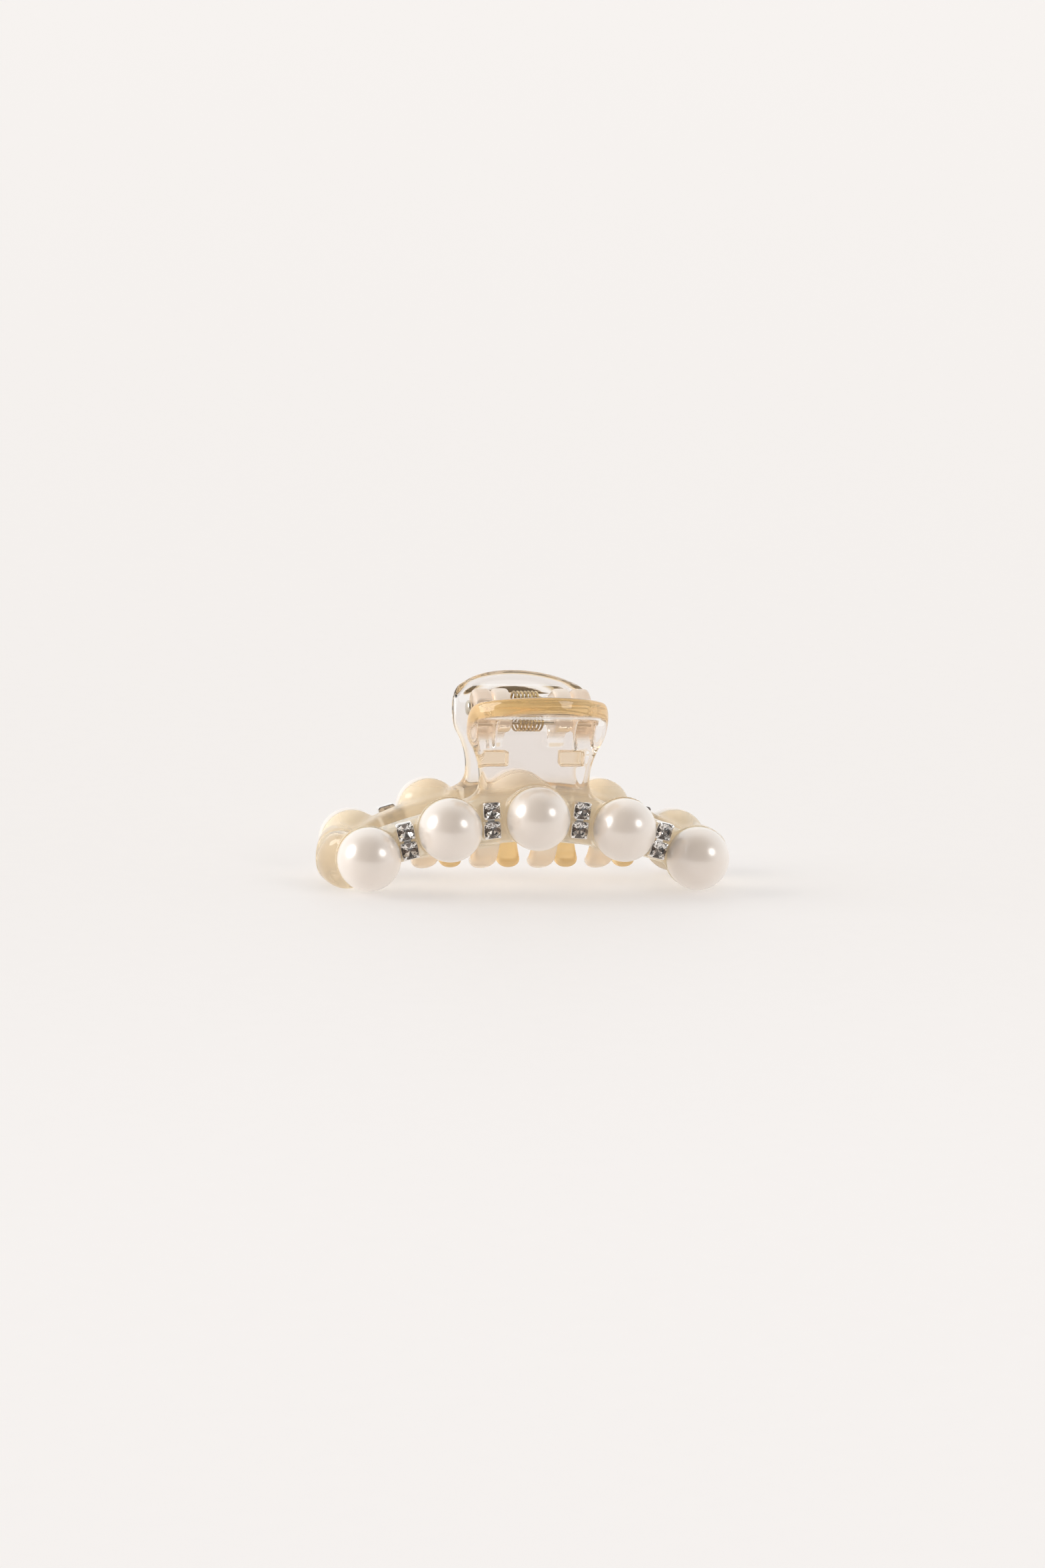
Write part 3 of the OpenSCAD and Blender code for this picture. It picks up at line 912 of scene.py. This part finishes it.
def pearl(side, number):
    """A ball pearl with the faint unevenness of its dipped coat and a bare glued back."""
    source = f"{side}_pearl_{number}"
    low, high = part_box(source)
    out = 1 if side == "rear" else -1
    points, faces = loft(pearl_rings((low + high) / 2, (high.x - low.x) / 2, out))
    made = mesh_object(f"{source}_nacre", points, faces)
    made.data.materials.append(pearl_coat())
    made.data.materials.append(pearl_core())
    bare = (BACK_RINGS - 1) * PEARL_COUNT
    back_cap = len(faces) - 2
    for index, face in enumerate(made.data.polygons):
        face.material_index = int(index < bare or index == back_cap)
    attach(made, f"{side}_half")
    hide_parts(source)


# ---- crystals and their cups, drawn with x across, y along the pair, z outward ----

def pair_place(side, number):
    """The place of one crystal pair: the frame's box gives the side, the arch the lean."""
    low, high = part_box(f"{side}_setting_{number}")
    sign = 1 if (low.x + high.x) > 0 else -1
    at = PAIR_X[0] if number in (2, 3) else PAIR_X[1]
    turn, lean, face_y = pair_pose(at)
    out = 1 if side == "rear" else -1
    outward = Vector((sign * math.sin(turn), out * math.cos(turn), 0))
    across_flat = Vector((math.cos(turn), -sign * out * math.sin(turn), 0))
    along = across_flat * (sign * math.sin(lean)) + Vector((0, 0, math.cos(lean)))
    across = along.cross(outward)
    place = Matrix((across, along, outward)).transposed().to_4x4()
    place.translation = Vector((sign * at, out * face_y, arch_z(at)))
    return place


def square_ring(half, squareness, z, count=32):
    """A ring that is round when squareness is 0 and nearly square when it is 1."""
    ring = []
    power = 2 + 10 * squareness
    for j in range(count):
        t = 2 * math.pi * (j + 0.5) / count
        c, s = math.cos(t), math.sin(t)
        reach = (abs(c) ** power + abs(s) ** power) ** (-1 / power)
        ring.append((half * reach * c, half * reach * s, z))
    return ring


def cup_mesh():
    """A square cup with a round seat, in mm."""
    return loft([square_ring(*level) for level in CUP_PROFILE])


def prong_mesh(sx, sy):
    """A prong rising from a corner and bent over the stone, in mm."""
    rings = []
    for back, height, wide in PRONG_PATH:
        ring = []
        for j in range(PRONG_COUNT):
            t = 2 * math.pi * j / PRONG_COUNT
            along = PRONG_DEPTH * math.sin(t)
            u = SETTING_HALF - back + DIAGONAL * (wide * math.cos(t) + along)
            v = SETTING_HALF - back - DIAGONAL * (wide * math.cos(t) - along)
            ring.append((sx * u, sy * v, height + PRONG_TILT * math.sin(t)))
        rings.append(ring if sx * sy > 0 else ring[::-1])
    return loft(rings)


def setting_mesh():
    """Two square pronged cups joined by a short link, in mm."""
    prongs = [prong_mesh(sx, sy) for sx in (-1, 1) for sy in (-1, 1)]
    cup = join_meshes([cup_mesh()] + prongs)
    link = loft([square_ring(LINK_HALF, LINK_SQUARENESS, z) for z in LINK_HEIGHTS])
    lower, upper = [shifted(cup, s * STONE_SPACING / 2) for s in (-1, 1)]
    return join_meshes([lower, upper, link])


def setting(side, number):
    """One pair's metal: bright in front, dull on its stamped back, with softened edges."""
    source = f"{side}_setting_{number}"
    points, faces = setting_mesh()
    place = pair_place(side, number)
    placed = [MM * (place @ Vector(p)) for p in points]
    made = mesh_object(f"{source}_pronged", placed, faces, False)
    made.data.materials.append(silver_cup())
    made.data.materials.append(cup_back())
    back = place.to_3x3() @ Vector((0, 0, -1))
    for face in made.data.polygons:
        face.material_index = int(face.normal.dot(back) > BACK_FACING)
    edges = made.modifiers.new("soft_edges", "BEVEL")
    edges.width = SOFT_EDGE * MM
    edges.segments = 2
    edges.limit_method = "ANGLE"
    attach(made, f"{side}_half")
    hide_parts(source)


def stone_ring(size, count, turn=0.0):
    """Corners of a stone on one level."""
    radius = STONE_RADIUS * size[0]
    angles = [2 * math.pi * (j + turn) / count for j in range(count)]
    return [(radius * math.cos(a), radius * math.sin(a), size[1]) for a in angles]


def stone_mesh():
    """A round brilliant in mm: its points, its facets, and how many facets its crown has."""
    table = stone_ring(TABLE, FACETS, 0.5)
    kites = stone_ring(KITES, FACETS)
    girdle = stone_ring(GIRDLE_TOP, GIRDLE_FACETS)
    under = stone_ring(GIRDLE_FOOT, GIRDLE_FACETS)
    mains = stone_ring(MAINS, FACETS, 0.5)
    points = table + kites + girdle + under + mains + [(0, 0, STONE_TIP_Z)]
    k = len(table)
    g = k + len(kites)
    u = g + len(girdle)
    m = u + len(under)
    tip = m + len(mains)
    faces = [tuple(range(FACETS))]
    for j in range(FACETS):
        n = (j + 1) % FACETS
        p = (j - 1) % FACETS
        g_here, g_mid, g_next = g + 2 * j, g + 2 * j + 1, g + (2 * j + 2) % GIRDLE_FACETS
        faces.append((j, k + n, n))
        faces.append((p, k + j, j))
        faces.append((k + j, g_here, g_mid))
        faces.append((k + n, g_mid, g_next))
        faces.append((j, k + j, g_mid, k + n))
    crown = len(faces)
    for j in range(GIRDLE_FACETS):
        n = (j + 1) % GIRDLE_FACETS
        faces.append((g + j, u + j, u + n, g + n))
    for j in range(FACETS):
        n = (j + 1) % FACETS
        u_here, u_mid, u_next = u + 2 * j, u + 2 * j + 1, u + (2 * j + 2) % GIRDLE_FACETS
        faces.append((u_here, m + j, u_mid))
        faces.append((u_mid, m + j, u_next))
        faces.append((m + j, tip, m + n, u_next))
    return points, faces, crown


def face_outward(mesh):
    """Makes every face of a closed mesh look outward."""
    grid = bmesh.new()
    grid.from_mesh(mesh)
    bmesh.ops.recalc_face_normals(grid, faces=grid.faces)
    grid.to_mesh(mesh)
    grid.free()


def crystal(side, number, which):
    """A cut stone: clear crown over a point backed with bright foil and with foil painted dark as a
    painted dark reflection, as a pinwheel.
    """
    source = f"{side}_crystal_{number}_{which}"
    points, faces, crown = stone_mesh()
    sign = 1 if which == "upper" else -1
    place = pair_place(side, number)
    shift = Vector((0, sign * STONE_SPACING / 2, 0))
    placed = [MM * (place @ (Vector(p) + shift)) for p in points]
    made = mesh_object(f"{source}_cut", placed, faces, False)
    made.data.materials.append(crystal_glass())
    made.data.materials.append(crystal_foil())
    made.data.materials.append(crystal_painted_dark_reflection())
    face_outward(made.data)
    for index, face in enumerate(made.data.polygons):
        behind = index - crown - GIRDLE_FACETS
        # some back facets take the foil painted dark, a painted dark reflection
        dark = (behind % 3 == 2) == (behind // 3 % 2 == 0)
        face.material_index = 0 if behind < 0 else 1 + int(dark)
    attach(made, f"{side}_half")
    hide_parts(source)


# ---- hinge pin and spring ----

def turned(name, profile):
    """A solid turned about the hinge axis from (x, radius) points in mm."""
    angles = [2 * math.pi * j / TURNED_COUNT for j in range(TURNED_COUNT)]
    rings = [
        [(x, radius * math.cos(a), AXIS_Z + radius * math.sin(a)) for a in angles]
        for x, radius in profile
    ]
    points, faces = loft(rings)
    return mesh_object(name, [MM * Vector(p) for p in points], faces)


def hinge_pin():
    """A wire pin with a domed head at the left and a peened right end."""
    low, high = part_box("hinge_pin")
    left, right = low.x / MM, high.x / MM
    head = (high.z - low.z) / 2 / MM
    profile = [(left + far, head * share) for far, share in HEAD_PROFILE]
    profile += [(left + far, radius) for far, radius in HEAD_FOOT]
    profile += [(right - far, radius) for far, radius in PEEN_PROFILE]
    made = turned("hinge_pin_turned", profile)
    made.data.materials.append(pin_metal())
    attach(made, "front_half")
    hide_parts("hinge_pin")


def spring_path():
    """Points along the wire in mm, a leg, the coil and the other leg, and half the coil's length."""
    reach = math.hypot(*LEG_END)
    start = math.pi - math.atan2(LEG_END[1], LEG_END[0]) - math.acos(COIL_RADIUS / reach)
    sweep = 2 * math.pi * COIL_TURNS + (math.pi - 2 * start) - 2 * math.pi
    half = COIL_PITCH * sweep / (4 * math.pi)
    steps = TURN_STEPS * (COIL_TURNS - 1)
    coil = []
    for k in range(steps + 1):
        t = k / steps
        a = start - sweep * t
        x = -half + 2 * half * t
        coil.append(Vector((x, COIL_RADIUS * math.cos(a), COIL_RADIUS * math.sin(a))))
    first = Vector((-half, -LEG_END[0], LEG_END[1]))
    last = Vector((half, LEG_END[0], LEG_END[1]))
    leg_in = [first.lerp(coil[0], t / LEG_STEPS) for t in range(LEG_STEPS)]
    leg_out = [coil[-1].lerp(last, t / LEG_STEPS) for t in range(1, LEG_STEPS + 1)]
    return leg_in + coil + leg_out, half


def tube(path, radius):
    """A skin of rings along a path, with its two ends rounded off."""
    rings = []
    last = len(path) - 1
    angles = [2 * math.pi * j / WIRE_COUNT for j in range(WIRE_COUNT)]
    for k, centre in enumerate(path):
        way = (path[min(k + 1, last)] - path[max(k - 1, 0)]).normalized()
        side = (Vector((1, 0, 0)) - way * way.x).normalized()
        up = way.cross(side)
        levels = WIRE_END[:1]
        if k == 0:
            levels = [(-shift, size) for shift, size in WIRE_END[::-1]]
        if k == last:
            levels = WIRE_END
        for shift, size in levels:
            rims = [size * (math.cos(a) * side + math.sin(a) * up) for a in angles]
            rings.append([tuple(centre + radius * (shift * way + rim)) for rim in rims])
    return loft(rings)


def torsion_spring():
    """The spring's wire: a coil about the hinge axis with a leg at each end."""
    path, half = spring_path()
    points, faces = tube(path, WIRE_RADIUS)
    lift = Vector((-COIL_OFFSET, 0, AXIS_Z))
    placed = [MM * (Vector(p) + lift) for p in points]
    made = mesh_object("torsion_spring_wound", placed, faces)
    made.data.materials.append(spring_wire())
    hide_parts("torsion_spring")
    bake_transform(made)


# ---- floor, light and camera ----

def camera_axes():
    """Right, up and back of the camera, rolled as the photograph is."""
    a, e, r = CAMERA_AZIMUTH, CAMERA_ELEVATION, CAMERA_ROLL
    back = Vector((math.sin(a) * math.cos(e), -math.cos(a) * math.cos(e), math.sin(e)))
    right = Vector((math.cos(a), math.sin(a), 0))
    up = back.cross(right)
    return right * math.cos(r) + up * math.sin(r), up * math.cos(r) - right * math.sin(r), back


def set_camera():
    """A long lens at the photograph's angle, aimed so that the clip lies as it does there."""
    data = bpy.data.cameras.new("camera")
    camera = new_object("camera", data)
    data.sensor_width = SENSOR_SIZE
    data.lens = SENSOR_SIZE * CAMERA_DISTANCE / FRAME_HEIGHT
    data.clip_start = 0.01
    data.clip_end = 50
    right, up, back = camera_axes()
    camera.location = back * CAMERA_DISTANCE
    aim = up * AIM_UP + right * AIM_RIGHT
    forward = (aim - camera.location).normalized()
    side = (right - forward * right.dot(forward)).normalized()
    rise = side.cross(forward)
    camera.rotation_mode = "QUATERNION"
    camera.rotation_quaternion = Matrix((side, rise, -forward)).transposed().to_quaternion()
    bpy.context.scene.camera = camera


def floor_paper():
    """Pale paper with a glow of its own, painted a little lighter toward the camera's side as a
    painted pool of light.
    """
    material, tree, shader = new_material("floor_paper")
    speckle = grain(tree, scale=300, detail=3)
    far = ramp(tree, speckle.outputs["Fac"], 0.2, 0.8, FLOOR_FAR)
    near = ramp(tree, speckle.outputs["Fac"], 0.2, 0.8, FLOOR_NEAR_PAINTED_LIGHT)
    where = node(tree, "ShaderNodeTexCoord")
    split = node(tree, "ShaderNodeSeparateXYZ")
    tree.links.new(where.outputs["Object"], split.inputs["Vector"])
    front = scaled(tree, split.outputs["Y"], FLOOR_FADE_Y)
    # painted light: the floor's colour turns lighter toward the camera
    colour = mixed(tree, front, far.outputs["Color"], near.outputs["Color"])
    tree.links.new(colour, shader.inputs["Base Color"])
    set_inputs(shader, Roughness=0.6, Specular_IOR_Level=0.15)
    set_inputs(shader, Emission_Color=FLOOR_GLOW, Emission_Strength=FLOOR_GLOW_STRENGTH)
    return material


def pale_floor():
    """A plain pale floor, far wider than any view of the object."""
    angles = [2 * math.pi * j / FLOOR_COUNT for j in range(FLOOR_COUNT)]
    rings = [[(r * math.cos(a), r * math.sin(a), 0) for a in angles] for r in FLOOR_RINGS]
    points, faces = loft(rings, closed=False)
    made = mesh_object("floor", points, faces, False)
    made.data.materials.append(floor_paper())


def softbox(name, direction, spread, strength):
    """A far soft lamp; its direction is given in the camera's axes and its spread in degrees."""
    right, up, back = camera_axes()
    way = (right * direction[0] + up * direction[1] + back * direction[2]).normalized()
    data = bpy.data.lights.new(name, "SUN")
    data.angle = math.radians(spread)
    data.energy = strength
    data.color = LAMP_COLOUR
    lamp = new_object(name, data)
    lamp.location = way
    lamp.rotation_mode = "QUATERNION"
    lamp.rotation_quaternion = (-way).to_track_quat("-Z", "Y")


def room():
    """A bright even room that is darker high up on the side that the clip faces."""
    world = bpy.data.worlds.new("room")
    bpy.context.scene.world = world
    world.use_nodes = True
    tree = world.node_tree
    background = tree.nodes["Background"]
    where = node(tree, "ShaderNodeTexCoord")
    dark_way = node(tree, "ShaderNodeVectorMath", operation="DOT_PRODUCT")
    dark_way.inputs[1].default_value = Vector(DARK_WAY).normalized()
    tree.links.new(where.outputs["Generated"], dark_way.inputs[0])
    shade = ramp(tree, dark_way.outputs["Value"], *ROOM_FADE, ROOM_COLOURS)
    tree.links.new(shade.outputs["Color"], background.inputs["Color"])
    set_inputs(background, Strength=1.0)


# ---- the whole scene ----

def build():
    """Every piece of the clip."""
    jaw("front", FRONT_LUGS, True)
    jaw("rear", REAR_LUGS, False)
    hinge_pin()
    torsion_spring()
    for side in ("front", "rear"):
        for number in range(1, 6):
            pearl(side, number)
        for number in range(1, 5):
            setting(side, number)
            crystal(side, number, "upper")
            crystal(side, number, "lower")


def light_and_frame():
    """The floor, the lights and the camera."""
    pale_floor()
    room()
    softbox("left_softbox", direction=(-0.877, 0.40, 0.27), spread=36, strength=1.5)
    softbox("right_softbox", direction=(0.753, 0.36, 0.55), spread=24, strength=0.55)
    set_camera()
    scene = bpy.context.scene
    scene.view_settings.view_transform = "Standard"
    scene.cycles.max_bounces = LIGHT_BOUNCES
    scene.cycles.transmission_bounces = LIGHT_BOUNCES


build()
light_and_frame()
